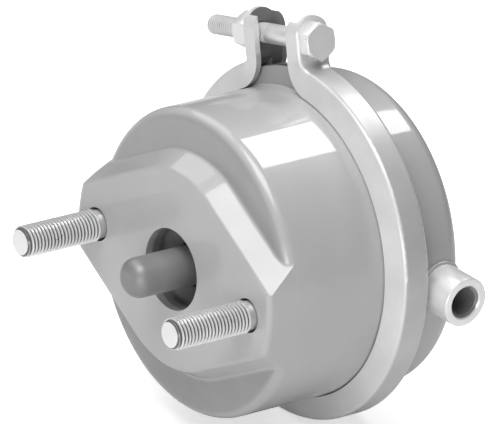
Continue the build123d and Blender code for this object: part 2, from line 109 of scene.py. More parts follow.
class Reading(str, Enum):
    """What a material reads of a surface: its place on the piece, or the way it faces."""

    PLACE = "Object"
    FACING = "Normal"


class Sum(Enum):
    """What a node works out, as the node's kind, its operation and its result."""

    TIMES = ("ShaderNodeMath", "MULTIPLY", "Value")
    SIZE = ("ShaderNodeMath", "ABSOLUTE", "Value")
    LESS = ("ShaderNodeVectorMath", "SUBTRACT", "Vector")
    CROSS = ("ShaderNodeVectorMath", "CROSS_PRODUCT", "Vector")
    DOT = ("ShaderNodeVectorMath", "DOT_PRODUCT", "Value")
    LENGTH = ("ShaderNodeVectorMath", "LENGTH", "Value")


@dataclass(frozen=True)
class Line:
    """A line in the chamber's frame, given by a point on it and its unit direction."""

    origin: Triple
    direction: Triple


CHAMBER_AXIS = Line((0.0, 0.0, 0.0), (0.0, 1.0, 0.0))
LUG_ANGLE = math.radians(14.5)
LUG_FACE = 22.0 * MM
JOINT_PLANE = 80.5 * MM
LUG_GAP = Line((0.0, JOINT_PLANE, 0.0), (-math.sin(LUG_ANGLE), 0.0, math.cos(LUG_ANGLE)))


def shade(colour: Triple, factor: float) -> Triple:
    """A colour made darker or lighter by a factor."""
    return tuple(factor * part for part in colour)


# ---- finishes


@dataclass(frozen=True)
class Pattern:
    """Noise on a piece's own coordinates, whose values between two limits run between two results.

    The scale counts features to the metre, and the detail counts octaves of finer pattern.
    """

    scale: float
    detail: float
    limits: Span
    to: Span = RISE


class NodeSheet:
    """A material's node tree with short calls for the nodes that the finishes share."""

    EDGE_SAMPLES = 4
    EDGE_SPAN: Span = (0.97, 0.80)

    def __init__(self, name: str, base: Triple) -> None:
        """Start a material of one colour.

        Args:
            name: the material's name.
            base: its colour.
        """
        self.material = bpy.data.materials.new(name)
        self.material.use_nodes = True
        self.nodes = self.material.node_tree.nodes
        self.links = self.material.node_tree.links
        self.nodes.clear()
        output = self.nodes.new("ShaderNodeOutputMaterial")
        self.shader = self.nodes.new("ShaderNodeBsdfPrincipled")
        self.links.new(self.shader.outputs["BSDF"], output.inputs["Surface"])
        self.coordinates = self.nodes.new("ShaderNodeTexCoord")
        self.base: Socket | Triple = base

    def feed(self, socket: str, value: Socket) -> None:
        """Join a value to one of the shader's inputs."""
        self.links.new(value, self.shader.inputs[socket])

    def fix(self, socket: str, value: float | tuple) -> None:
        """Set one of the shader's inputs to a value that is the same all over."""
        self.shader.inputs[socket].default_value = value

    def noise(self, scale: float, detail: float) -> Socket:
        """A noise pattern on the piece's own coordinates.

        Args:
            scale: how many features to the metre.
            detail: octaves of finer pattern.

        Returns:
            The pattern's value socket.
        """
        noise = self.nodes.new("ShaderNodeTexNoise")
        noise.inputs["Scale"].default_value = scale
        noise.inputs["Detail"].default_value = detail
        self.links.new(self.read(Reading.PLACE), noise.inputs["Vector"])
        return noise.outputs["Fac"]

    def remap(self, value: Socket, span: Span, to: Span = RISE) -> Socket:
        """A value moved from one range to another and kept within it.

        Args:
            value: the socket to read.
            span: the range read, from its start to its end.
            to: what the start and the end become.

        Returns:
            The new value's socket.
        """
        node = self.nodes.new("ShaderNodeMapRange")
        for socket, number in zip(RAMP_ENDS, (*span, *to)):
            node.inputs[socket].default_value = number
        self.links.new(value, node.inputs["Value"])
        return node.outputs["Result"]

    def patches(self, pattern: Pattern) -> Socket:
        """A pattern's value, between its two results."""
        return self.remap(self.noise(pattern.scale, pattern.detail), pattern.limits, pattern.to)

    def cover(self, mask: Socket, colour: Triple) -> None:
        """Lay a colour over the base colour.

        Args:
            mask: how much of it covers the base, from 0 to 1.
            colour: the colour.
        """
        mix = self.nodes.new("ShaderNodeMix")
        mix.data_type = "RGBA"
        self.links.new(mask, mix.inputs["Factor"])
        under, over, result = mix.inputs[6], mix.inputs[7], mix.outputs[2]
        if isinstance(self.base, Socket):
            self.links.new(self.base, under)
        else:
            under.default_value = (*self.base, 1.0)
        over.default_value = (*colour, 1.0)
        self.base = result
        self.feed("Base Color", result)

    def bump(self, height: Socket, strength: float, distance: float) -> None:
        """Raise the surface by a pattern.

        Args:
            height: the pattern's socket.
            strength: how much of the bump is used.
            distance: height of the pattern in metres.
        """
        node = self.nodes.new("ShaderNodeBump")
        node.inputs["Strength"].default_value = strength
        node.inputs["Distance"].default_value = distance
        self.links.new(height, node.inputs["Height"])
        self.feed("Normal", node.outputs["Normal"])

    def work_out(
        self, wanted: Sum, first: Socket, second: Socket | float | Triple | None = None
    ) -> Socket:
        """A sum on numbers or on vectors.

        Args:
            wanted: what is worked out.
            first: the first value's socket.
            second: the second value or its socket, where the sum has one.

        Returns:
            The result's socket.
        """
        kind, operation, result = wanted.value
        node = self.nodes.new(kind)
        node.operation = operation
        self.links.new(first, node.inputs[0])
        if isinstance(second, Socket):
            self.links.new(second, node.inputs[1])
        elif second is not None:
            node.inputs[1].default_value = second
        return node.outputs[result]

    def times(self, first: Socket, *others: Socket) -> Socket:
        """The product of two or more masks.

        Args:
            first: the first mask's socket.
            others: the sockets of the rest.

        Returns:
            The product's socket.
        """
        for other in others:
            first = self.work_out(Sum.TIMES, first, other)
        return first

    def read(self, reading: Reading) -> Socket:
        """The surface's place or facing, as a vector."""
        return self.coordinates.outputs[reading.value]

    def part_of(self, reading: Reading, axis: Axis) -> Socket:
        """The part of the surface's place or facing that lies along one axis.

        Args:
            reading: the place or the facing.
            axis: the axis to read.

        Returns:
            The value's socket.
        """
        split = self.nodes.new("ShaderNodeSeparateXYZ")
        self.links.new(self.read(reading), split.inputs[0])
        return split.outputs[axis.value]

    def edge_mask(self, radius: float) -> Socket:
        """1 on edges and in corners, 0 on flats, by comparing a rounded normal with the true one.

        Args:
            radius: how far from an edge the mask reaches.

        Returns:
            The mask's socket.
        """
        bevel = self.nodes.new("ShaderNodeBevel")
        bevel.samples = self.EDGE_SAMPLES
        bevel.inputs["Radius"].default_value = radius
        geometry = self.nodes.new("ShaderNodeNewGeometry")
        turn = self.work_out(Sum.DOT, bevel.outputs["Normal"], geometry.outputs["Normal"])
        return self.remap(turn, self.EDGE_SPAN)

    def along(self, line: Line) -> Socket:
        """How far the surface faces along a line, 1 straight along it either way and 0 across it."""
        facing = self.work_out(Sum.DOT, self.read(Reading.FACING), line.direction)
        return self.work_out(Sum.SIZE, facing)

    def away(self, line: Line) -> Socket:
        """The cross product of the way from a line's point to the surface with its direction."""
        offset = self.work_out(Sum.LESS, self.read(Reading.PLACE), line.origin)
        return self.work_out(Sum.CROSS, offset, line.direction)

    def reach(self, line: Line) -> Socket:
        """How far the surface lies from a line, such as a screw's axis, in metres."""
        return self.work_out(Sum.LENGTH, self.away(line))

    def towards(self, line: Line) -> Socket:
        """How much the surface faces a line, times its distance: below 0 where it faces away."""
        back = self.work_out(Sum.CROSS, self.away(line), line.direction)
        return self.work_out(Sum.DOT, back, self.read(Reading.FACING))


@dataclass(frozen=True)
class Texture:
    """How a finish's roughness wanders, from below its plain value upwards, and its fine bumps."""

    clouds: Pattern
    below: float
    spread: float
    bumps: float
    bump_detail: float
    strength: float
    height: float

    def lay(self, sheet: NodeSheet, roughness: float) -> None:
        """Give a material its roughness and its bumps.

        Args:
            sheet: the material's sheet.
            roughness: the finish's roughness.
        """
        low = roughness - self.below
        sheet.feed("Roughness", sheet.patches(replace(self.clouds, to=(low, low + self.spread))))
        sheet.bump(sheet.noise(self.bumps, self.bump_detail), self.strength, self.height)


@dataclass(frozen=True)
class RecessShade:
    """Painted shade on a flat that lies back from the mounting face and faces out of the chamber, in
    patches.
    """

    depth: float
    behind: Span = (1.6 * MM, 0.2 * MM)
    facing: Span = (-0.80, -0.97)
    patches: Pattern = Pattern(30.0, 5.0, (0.30, 0.70), (0.80, 1.0))
    tint: float = 0.66

    def lay(self, sheet: NodeSheet, colour: Triple) -> None:
        """Paint the shade over the finish on the recessed flat.

        Args:
            sheet: the material's sheet.
            colour: the finish's clean colour.
        """
        start, end = self.behind
        place = sheet.part_of(Reading.PLACE, Axis.Y)
        deep = sheet.remap(place, (self.depth - start, self.depth - end))
        facing = sheet.remap(sheet.part_of(Reading.FACING, Axis.Y), self.facing)
        # painted shade: darkens the recessed flat round the pad, in patches
        mask = sheet.times(deep, facing, sheet.patches(self.patches))
        sheet.cover(mask, shade(colour, self.tint))


@dataclass(frozen=True)
class ThreadRootShade:
    """Painted shade in a cut thread, darker from its crests to its roots, away from its flat ends."""

    axis: Line
    root: float
    crest: float
    strength: Span = (0.0, 0.92)
    facing: Span = (0.90, 0.98)
    tint: float = 0.10

    def lay(self, sheet: NodeSheet, colour: Triple) -> None:
        """Paint the shade into the thread over the finish.

        Args:
            sheet: the material's sheet.
            colour: the finish's clean colour.
        """
        # painted shade: darker towards the thread's roots, and on a plain neck near root radius
        depth = sheet.remap(sheet.reach(self.axis), (self.crest, self.root), self.strength)
        sideways = sheet.remap(sheet.along(self.axis), self.facing, FALL)
        sheet.cover(sheet.times(depth, sideways), shade(colour, self.tint))


@dataclass(frozen=True)
class BoreShade:
    """Painted shade in a bore, up to its radius."""

    axis: Line
    radius: float
    edge: float = 0.3 * MM
    tint: float = 0.28

    def lay(self, sheet: NodeSheet, colour: Triple) -> None:
        """Paint the shade in the bore over the finish."""
        # painted shade: everything inside the bore's radius is darkened
        inside = sheet.remap(sheet.reach(self.axis), (self.radius, self.radius + self.edge), FALL)
        sheet.cover(inside, shade(colour, self.tint))


@dataclass(frozen=True)
class ClampWebTintAndLugShade:
    """Darkening on the clamp: a darker tone on its side faces up to a radius, and painted shade inside
    its lugs.

    The gap is the line between the lugs, half is how far their inner faces lie from it, and front is
    where along the chamber's axis the painted shade in them starts.
    """

    radius: float
    gap: Line
    half: float
    front: float
    radius_edge: float = 2.0 * MM
    facing: Span = (0.35, 0.80)
    patches: Pattern = Pattern(40.0, 5.0, (0.30, 0.70), (0.75, 1.0))
    tint: float = 0.60
    half_edge: Span = (1.0 * MM, 0.2 * MM)
    front_edge: float = 1.5 * MM
    inward: Span = (1.0 * MM, 4.0 * MM)
    lug_shade_tint: float = 0.30

    def lay(self, sheet: NodeSheet, colour: Triple) -> None:
        """Darken the finish: a darker tone on the side faces, and painted shade inside the lugs.

        Args:
            sheet: the material's sheet.
            colour: the finish's clean colour.
        """
        # a darker tone, a little patchy, on the side faces up to the radius
        inside = sheet.remap(
            sheet.reach(CHAMBER_AXIS), (self.radius, self.radius + self.radius_edge), FALL
        )
        sideways = sheet.remap(sheet.along(CHAMBER_AXIS), self.facing, FALL)
        side_darkening = sheet.times(inside, sideways, sheet.patches(self.patches))
        sheet.cover(side_darkening, shade(colour, self.tint))
        # painted shade inside the lugs' channels, on faces turned towards the gap
        start, end = self.half_edge
        between = sheet.remap(sheet.reach(self.gap), (self.half - start, self.half - end), FALL)
        depth = sheet.part_of(Reading.PLACE, Axis.Y)
        behind = sheet.remap(depth, (self.front, self.front + self.front_edge))
        inward = sheet.remap(sheet.towards(self.gap), self.inward)
        sheet.cover(sheet.times(between, behind, inward), shade(colour, self.lug_shade_tint))


@dataclass(frozen=True)
class PaintFinish:
    """Glossy stoving paint with orange peel, dust, rubbed edges and, in a recess, painted shade."""

    name: str
    colour: Triple
    roughness: float = 0.42
    dull: float = 0.955
    bright: float = 1.03
    clouds: Pattern = Pattern(22.0, 4.0, (0.35, 0.65))
    dust: Pattern = Pattern(1400.0, 2.0, (0.64, 0.76), (0.0, 0.30))
    dust_tint: float = 1.2
    wear: Pattern = Pattern(160.0, 4.0, (0.42, 0.62), (0.0, 0.30))
    wear_reach: float = 0.7 * MM
    bare_steel: Triple = (0.60, 0.60, 0.60)
    peel: Texture = Texture(Pattern(60.0, 5.0, (0.3, 0.7)), 0.05, 0.12, 700.0, 2.0, 0.10, 0.1 * MM)
    coat: float = 0.8
    coat_roughness: float = 0.06
    recess_shade: RecessShade | None = None

    def material(self) -> Material:
        """Make the paint.

        Returns:
            Its material.
        """
        sheet = NodeSheet(self.name, shade(self.colour, self.dull))
        sheet.cover(sheet.patches(self.clouds), shade(self.colour, self.bright))
        # painted shade in the recess, when the finish has one
        if self.recess_shade:
            self.recess_shade.lay(sheet, self.colour)
        sheet.cover(sheet.patches(self.dust), shade(self.colour, self.dust_tint))
        rubbed = sheet.times(sheet.edge_mask(self.wear_reach), sheet.patches(self.wear))
        sheet.cover(rubbed, self.bare_steel)
        self.peel.lay(sheet, self.roughness)
        sheet.fix("Coat Weight", self.coat)
        sheet.fix("Coat Roughness", self.coat_roughness)
        return sheet.material


@dataclass(frozen=True)
class PlatedFinish:
    """Zinc plating or bare steel with a faint grain and clouds, and painted shade in threads or a
    bore, or the clamp's darker side faces with painted shade in its lugs.
    """

    name: str
    colour: Triple
    roughness: float
    metallic: float
    dull: float = 0.90
    clouds: Pattern = Pattern(55.0, 5.0, (0.35, 0.68))
    stain: Pattern = Pattern(35.0, 6.0, (0.60, 0.75), (0.0, 0.22))
    stain_tint: float = 0.70
    grain: Texture = Texture(
        Pattern(90.0, 2.0, (0.25, 0.75)), 0.04, 0.10, 1500.0, 2.0, 0.05, 0.05 * MM
    )
    mark: ThreadRootShade | BoreShade | ClampWebTintAndLugShade | None = None

    def material(self) -> Material:
        """Make the plating.

        Returns:
            Its material.
        """
        sheet = NodeSheet(self.name, shade(self.colour, self.dull))
        sheet.cover(sheet.patches(self.clouds), self.colour)
        sheet.cover(sheet.patches(self.stain), shade(self.colour, self.stain_tint))
        # painted shade in a thread, a bore or the clamp's lugs, when the finish has one
        if self.mark:
            self.mark.lay(sheet, self.colour)
        self.grain.lay(sheet, self.roughness)
        sheet.fix("Metallic", self.metallic)
        return sheet.material


@dataclass(frozen=True)
class RubberFinish:
    """Moulded black rubber or plastic, matt with a fine grain and grey bloom."""

    name: str
    colour: Triple
    roughness: float
    bloom: Pattern = Pattern(45.0, 5.0, (0.40, 0.75))
    bloom_tint: float = 2.0
    grain: Texture = Texture(Pattern(90.0, 3.0, (0.3, 0.7)), 0.08, 0.2, 1100.0, 3.0, 0.25, 0.1 * MM)

    def material(self) -> Material:
        """Make the rubber.

        Returns:
            Its material.
        """
        sheet = NodeSheet(self.name, self.colour)
        sheet.cover(sheet.patches(self.bloom), shade(self.colour, self.bloom_tint))
        self.grain.lay(sheet, self.roughness)
        return sheet.material


@dataclass
class FinishShelf:
    """Every finish of the chamber, made once and shared."""

    # the housing's recess round the pad gets painted shade
    housing: PaintFinish = PaintFinish(
        "housing_grey_paint", (0.41, 0.41, 0.41), recess_shade=RecessShade(12.5 * MM)
    )
    cover: PaintFinish = PaintFinish("cover_grey_paint", (0.345, 0.345, 0.345))
    # the clamp's side faces are darkened and its lugs get painted shade
    clamp: PlatedFinish = PlatedFinish(
        "clamp_zinc_sheet", (0.74, 0.74, 0.74), 0.38, 0.30,
        mark=ClampWebTintAndLugShade(91.5 * MM, LUG_GAP, LUG_FACE, 73.6 * MM),
    )
    zinc: PlatedFinish = PlatedFinish("bright_zinc", (0.84, 0.84, 0.84), 0.30, 0.45)
    rod: PlatedFinish = PlatedFinish("dull_machined_steel", (0.26, 0.26, 0.26), 0.42, 0.3)
    inner: PlatedFinish = PlatedFinish("phosphated_steel", (0.28, 0.28, 0.28), 0.5, 0.3)
    spring: PaintFinish = PaintFinish("black_spring_coat", (0.04, 0.04, 0.04), 0.4)
    rubber: RubberFinish = RubberFinish("black_rubber", (0.035, 0.035, 0.037), 0.62)
    gaiter: RubberFinish = RubberFinish("gaiter_rubber", (0.15, 0.15, 0.152), 0.7)
    plug: RubberFinish = RubberFinish(
        "plug_plastic", (0.05, 0.05, 0.05), 0.5, grain=replace(RubberFinish.grain, bumps=1600.0)
    )
    made: dict[str, Material] = field(default_factory=dict)

    def bright(self, name: str, mark: ThreadRootShade | BoreShade) -> Material:
        """Bright zinc with painted shade in a thread or a bore."""
        return self.get(replace(self.zinc, name=name, mark=mark))

    def get(self, finish: PaintFinish | PlatedFinish | RubberFinish) -> Material:
        """The material of a finish, made on first use.

        Args:
            finish: the finish wanted.

        Returns:
            Its material.
        """
        if finish.name not in self.made:
            self.made[finish.name] = finish.material()
        return self.made[finish.name]


# ---- modelling by hand


class Bench:
    """Short calls for the operators that shape the pieces."""

    SEED = 1.0 * MM

    @staticmethod
    def clear() -> None:
        """Leave edit mode and select nothing."""
        if bpy.context.object and bpy.context.object.mode != "OBJECT":
            bpy.ops.object.mode_set(mode="OBJECT")
        bpy.ops.object.select_all(action="DESELECT")

    @staticmethod
    def pick(piece: Piece) -> None:
        """Make one piece the only one selected, and the active one.

        Args:
            piece: the piece.
        """
        Bench.clear()
        piece.select_set(True)
        bpy.context.view_layer.objects.active = piece

    @staticmethod
    def outline(name: str, points: list[Point], closed: bool = True) -> Piece:
        """Draw an outline in the XY plane by extruding one vertex from point to point.

        Args:
            name: the piece's name.
            points: (x, y) corners.
            closed: whether the last point joins the first.

        Returns:
            The outline's object, at the origin.
        """
        Bench.clear()
        bpy.ops.mesh.primitive_plane_add(size=Bench.SEED, location=(*points[0], 0))
        piece = bpy.context.object
        piece.name = name
        bpy.ops.object.mode_set(mode="EDIT")
        bpy.ops.mesh.merge(type="CENTER")
        for before, after in zip(points, points[1:]):
            step = (after[0] - before[0], after[1] - before[1], 0)
            bpy.ops.mesh.extrude_vertices_move(TRANSFORM_OT_translate={"value": step})
        bpy.ops.object.mode_set(mode="OBJECT")
        bpy.ops.object.transform_apply(location=True, rotation=True, scale=True)
        if closed:
            bpy.ops.object.mode_set(mode="EDIT")
            bpy.ops.mesh.select_all(action="DESELECT")
            bpy.ops.object.mode_set(mode="OBJECT")
            piece.data.vertices[0].select = True
            piece.data.vertices[len(points) - 1].select = True
            bpy.ops.object.mode_set(mode="EDIT")
            bpy.ops.mesh.edge_face_add()
            bpy.ops.object.mode_set(mode="OBJECT")
        return piece

    @staticmethod
    def cylinder(name: str, radius: float, depth: float, sides: int, base: float) -> Piece:
        """A cylinder or a prism along Z, its place in its mesh.

        Args:
            name: the piece's name.
            radius: its radius, to the corners.
            depth: its length.
            sides: how many sides it has.
            base: height of its lower end.

        Returns:
            The cylinder, at the origin.
        """
        Bench.clear()
        bpy.ops.mesh.primitive_cylinder_add(
            vertices=sides, radius=radius, depth=depth, location=(0, 0, base + depth / 2)
        )
        piece = bpy.context.object
        piece.name = name
        bpy.ops.object.transform_apply(location=True, rotation=True, scale=True)
        return piece

    @staticmethod
    def apply(piece: Piece) -> None:
        """Apply every modifier of a piece in order.

        Args:
            piece: the piece.
        """
        Bench.pick(piece)
        for modifier in list(piece.modifiers):
            bpy.ops.object.modifier_apply(modifier=modifier.name)

    @staticmethod
    def merge(piece: Piece, point_outwards: bool = True) -> None:
        """Merge a piece's doubles.

        Args:
            piece: the piece.
            point_outwards: whether its faces are then turned to point outwards.
        """
        Bench.pick(piece)
        bpy.ops.object.mode_set(mode="EDIT")
        bpy.ops.mesh.select_all(action="SELECT")
        bpy.ops.mesh.remove_doubles(threshold=MERGE_DISTANCE)
        if point_outwards:
            bpy.ops.mesh.normals_make_consistent(inside=False)
        bpy.ops.object.mode_set(mode="OBJECT")

    @staticmethod
    def turn(piece: Piece, axis: Axis, steps: int, rise: float = 0.0, turns: int = 1) -> None:
        """Lathe an outline, or screw it when it rises.

        Args:
            piece: the outline.
            axis: what it turns about.
            steps: facets in a turn.
            rise: how far it rises in a turn.
            turns: how many turns.
        """
        screw = piece.modifiers.new("turn", "SCREW")
        screw.axis = axis.value
        screw.angle = math.tau
        screw.steps = steps
        screw.render_steps = steps
        screw.screw_offset = rise
        screw.iterations = turns
        screw.use_merge_vertices = True
        screw.merge_threshold = MERGE_DISTANCE
        Bench.apply(piece)
        Bench.merge(piece)

    @staticmethod
    def bevel(piece: Piece, width: float, segments: int = 2, angle: float = 40.0) -> None:
        """Round the piece's sharp edges.

        Args:
            piece: what to bevel.
            width: width of the bevel in metres.
            segments: facets across it.
            angle: edges sharper than this, in degrees, are rounded.
        """
        modifier = piece.modifiers.new("edges", "BEVEL")
        modifier.width = width
        modifier.segments = segments
        modifier.limit_method = "ANGLE"
        modifier.angle_limit = math.radians(angle)
        Bench.apply(piece)

    @staticmethod
    def cut(piece: Piece, tool: Piece, keep_common: bool = False) -> None:
        """Subtract a tool from a piece, or keep what they share, and delete the tool.

        Args:
            piece: what is cut.
            tool: what cuts it.
            keep_common: whether the shared part is what stays.
        """
        modifier = piece.modifiers.new("cut", "BOOLEAN")
        modifier.operation = "INTERSECT" if keep_common else "DIFFERENCE"
        modifier.solver = "EXACT"
        modifier.object = tool
        Bench.apply(piece)
        bpy.data.objects.remove(tool)
        Bench.merge(piece)

    @staticmethod
    def place(piece: Piece, matrix: Matrix) -> None:
        """Move a piece's mesh and leave its object at the origin.

        Args:
            piece: the piece.
            matrix: where its mesh goes.
        """
        Bench.pick(piece)
        piece.matrix_world = matrix
        bpy.ops.object.transform_apply(location=True, rotation=True, scale=True)

    @staticmethod
    def merged_copy(node: str) -> Piece:
        """A copy of a CAD node with its loose triangles merged, which replaces the node.

        Args:
            node: the node's name.

        Returns:
            The copy.
        """
        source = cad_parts[node]
        copy = source.copy()
        copy.data = source.data.copy()
        copy.parent = None
        copy.name = node + "_dressed"
        for key in list(copy.keys()):
            del copy[key]
        bpy.context.scene.collection.objects.link(copy)
        copy.data.materials.clear()
        Bench.merge(copy, point_outwards=False)
        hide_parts(node)
        return copy

    @staticmethod
    def dress(node: str, material: Material) -> None:
        """Give a CAD node its material and leave its mesh, whose normals are the true ones.

        Args:
            node: the node's name.
            material: its finish.
        """
        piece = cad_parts[node]
        for slot in piece.material_slots:
            slot.link = "OBJECT"
            slot.material = material
        LOG.info("%s: %d faces, dressed as it is", node, len(piece.data.polygons))

    @staticmethod
    def finish(piece: Piece, material: Material, body: Body | None, angle: float) -> None:
        """Smooth a piece, give it its material and let it ride on its body.

        Args:
            piece: the finished mesh.
            material: its finish.
            body: the body that it moves with, or None for a piece that bends between the two.
            angle: edges sharper than this, in degrees, stay sharp.
        """
        Bench.pick(piece)
        bpy.ops.object.shade_smooth_by_angle(angle=math.radians(angle))
        piece.data.materials.clear()
        piece.data.materials.append(material)
        if body:
            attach(piece, body.value)
        place = body.value if body else "both bodies"
        LOG.info("%s: %d faces on %s", piece.name, len(piece.data.polygons), place)


# ---- threads


@dataclass(frozen=True)
class Thread:
    """A metric thread, as a bar along Z or as the tool that cuts one.

    The depth and the profile's heights are in pitches.
    """

    radius: float
    pitch: float
    steps: int = 40
    depth: float = 0.61
    spare_turns: int = 2
    profile: tuple[float, ...] = (0.0, 0.25, 0.5625, 0.6875, 1.0)

    def outline(self) -> list[Point]:
        """One pitch of the thread: root, flank, crest and flank.

        Returns:
            The (radius, height) corners.
        """
        root = self.radius - self.depth * self.pitch
        radii = (root, root, self.radius, self.radius, root)
        return [(radius, height * self.pitch) for radius, height in zip(radii, self.profile)]

    def bar(self, name: str, length: float, lead: float = 0.0) -> Piece:
        """A threaded bar along Z from 0 to its length, closed at both ends.

        Args:
            name: the bar's name.
            length: its length in metres.
            lead: length of the taper at its far end.

        Returns:
            The bar, at the origin.
        """
        bar = Bench.outline(name, self.outline(), closed=False)
        upright = Matrix.Rotation(math.pi / 2, 4, "X")
        Bench.place(bar, upright @ Matrix.Translation((0, -self.pitch, 0)))
        turns = math.ceil(length / self.pitch) + self.spare_turns
        Bench.turn(bar, Axis.Z, self.steps, self.pitch, turns)
        bpy.ops.object.mode_set(mode="EDIT")
        for height, above in ((0.0, False), (length, True)):
            bpy.ops.mesh.select_all(action="SELECT")
            bpy.ops.mesh.bisect(
                plane_co=(0, 0, height), plane_no=(0, 0, 1), use_fill=True,
                clear_outer=above, clear_inner=not above, threshold=CUT_DISTANCE,
            )
        bpy.ops.object.mode_set(mode="OBJECT")
        for vertex in bar.data.vertices:
            over = vertex.co.z - (length - lead)
            reach = math.hypot(vertex.co.x, vertex.co.y)
            limit = self.radius - over
            if lead and over > 0 and reach > limit:
                vertex.co.x *= limit / reach
                vertex.co.y *= limit / reach
        Bench.merge(bar)
        return bar


def along(axis: Vector, origin: Vector) -> Matrix:
    """The matrix that sends +Z to an axis and the origin to a point.

    Args:
        axis: where +Z goes.
        origin: where the origin goes.

    Returns:
        The placing matrix.
    """
    turn = axis.normalized().to_track_quat("Z", "Y").to_matrix().to_4x4()
    return Matrix.Translation(origin) @ turn


def middle_of(node: str) -> Vector:
    """The middle of a CAD node's box."""
    low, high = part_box(node)
    return (Vector(low) + Vector(high)) / 2


# ---- the chamber's pieces


@dataclass
class Housings:
    """The pressed front housing and rear cover."""

    shelf: FinishShelf

    def build(self) -> None:
        """Dress both housings."""
        for node, finish in (("front_housing", self.shelf.housing), ("rear_cover", self.shelf.cover)):
            Bench.dress(node, self.shelf.get(finish))


@dataclass
class Clamp:
    """The V-section band with its two channel lugs, and the M10 bolt and nut that draw them up.

    The hexagons' ends are turned to a cone, which leaves a flat of the crown's share of their width
    and runs past their corners by the cone's reach.
    """

    shelf: FinishShelf
    thread: Thread = Thread(5.0 * MM, 1.5 * MM, 32)
    direction: Vector = field(
        default_factory=lambda: Vector((math.cos(LUG_ANGLE), 0, math.sin(LUG_ANGLE)))
    )
    centre_radius: float = 100.5 * MM
    lug_face: float = LUG_FACE
    bolt_length: float = 80.0 * MM
    threaded: float = 46.0 * MM
    lead: float = 1.2 * MM
    overlap: float = 1.0 * MM
    # painted shade in the bolt thread: darkest at dark_radius, none from bright_radius
    dark_radius: float = 4.15 * MM
    bright_radius: float = 4.6 * MM
    across_flats: float = 17.0 * MM
    head_height: float = 6.4 * MM
    nut_height: float = 10.0 * MM
    cone_reach: float = 1.08
    crown: float = 0.97
    cone_angle: float = math.radians(30)
    cone_steps: int = 72
    shank_sides: int = 48
    shank_edge: float = 0.4 * MM
    hexagon_edge: float = 0.25 * MM
    hexagon_edge_angle: float = 50.0
    smooth_angle: float = 28.0

    def hexagon(self, name: str, height: float, both_ends: bool) -> Piece:
        """A hexagon along Z from 0, its far end (or both ends) turned to a cone as bolts are.

        Args:
            name: the piece's name.
            height: its height.
            both_ends: whether the near end is turned as well.

        Returns:
            The hexagon.
        """
        corner = self.across_flats / math.sqrt(3)
        prism = Bench.cylinder(name, corner, height, 6, 0.0)
        wide = corner * self.cone_reach
        crown = self.across_flats / 2 * self.crown
        slope = (wide - crown) * math.tan(self.cone_angle)
        low_end = [(0, 0), (crown, 0), (wide, slope)] if both_ends else [(0, 0), (wide, 0)]
        high_end = [(wide, height - slope), (crown, height), (0, height)]
        envelope = Bench.outline("envelope", low_end + high_end, closed=False)
        Bench.place(envelope, Matrix.Rotation(math.pi / 2, 4, "X"))
        Bench.turn(envelope, Axis.Z, self.cone_steps)
        Bench.cut(prism, envelope, keep_common=True)
        return prism

    def on_axis(self, offset: float) -> Vector:
        """A point on the bolt's axis, so far from the middle of the gap towards the bolt's head."""
        centre = Vector(LUG_GAP.origin) + Vector(LUG_GAP.direction) * self.centre_radius
        return centre + self.direction * offset

    def bolt(self) -> None:
        """Make the bolt's head, shank and thread."""
        head = self.hexagon("clamp_bolt_head", self.head_height, both_ends=False)
        Bench.bevel(head, self.hexagon_edge, angle=self.hexagon_edge_angle)
        Bench.place(head, along(self.direction, self.on_axis(self.lug_face)))
        shank_length = self.bolt_length - self.threaded
        shank = Bench.cylinder(
            "clamp_bolt_shank", self.thread.radius, shank_length, self.shank_sides, -shank_length / 2
        )
        Bench.bevel(shank, self.shank_edge)
        Bench.place(shank, along(self.direction, self.on_axis(self.lug_face - shank_length / 2)))
        bar = self.thread.bar("clamp_bolt_thread", self.threaded + self.overlap, self.lead)
        start = self.on_axis(self.lug_face - shank_length + self.overlap)
        Bench.place(bar, along(-self.direction, start))
        axis = Line(tuple(self.on_axis(0.0)), tuple(self.direction))
        # painted shade in the bolt thread's roots
        screw = ThreadRootShade(axis, self.dark_radius, self.bright_radius)
        threaded = self.shelf.bright("clamp_bolt_zinc", screw)
        bright = self.shelf.get(self.shelf.zinc)
        for piece, material in ((head, bright), (shank, bright), (bar, threaded)):
            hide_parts("clamp_bolt")
            Bench.finish(piece, material, Body.CHAMBER, self.smooth_angle)

    def nut(self) -> None:
        """Make the nut."""
        nut = self.hexagon("clamp_nut_hexagon", self.nut_height, both_ends=True)
        bore_depth = 4 * self.nut_height
        bore = Bench.cylinder(
            "clamp_nut_bore_tool", self.thread.radius, bore_depth, self.shank_sides, -bore_depth / 2
        )
        Bench.cut(nut, bore)
        Bench.bevel(nut, self.hexagon_edge, angle=self.hexagon_edge_angle)
        Bench.place(nut, along(-self.direction, self.on_axis(-self.lug_face)))
        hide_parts("clamp_nut")
        Bench.finish(nut, self.shelf.get(self.shelf.zinc), Body.CHAMBER, self.smooth_angle)

    def build(self) -> None:
        """Dress the band and make the bolt and the nut."""
        Bench.dress("clamp_band", self.shelf.get(self.shelf.clamp))
        self.bolt()
        self.nut()


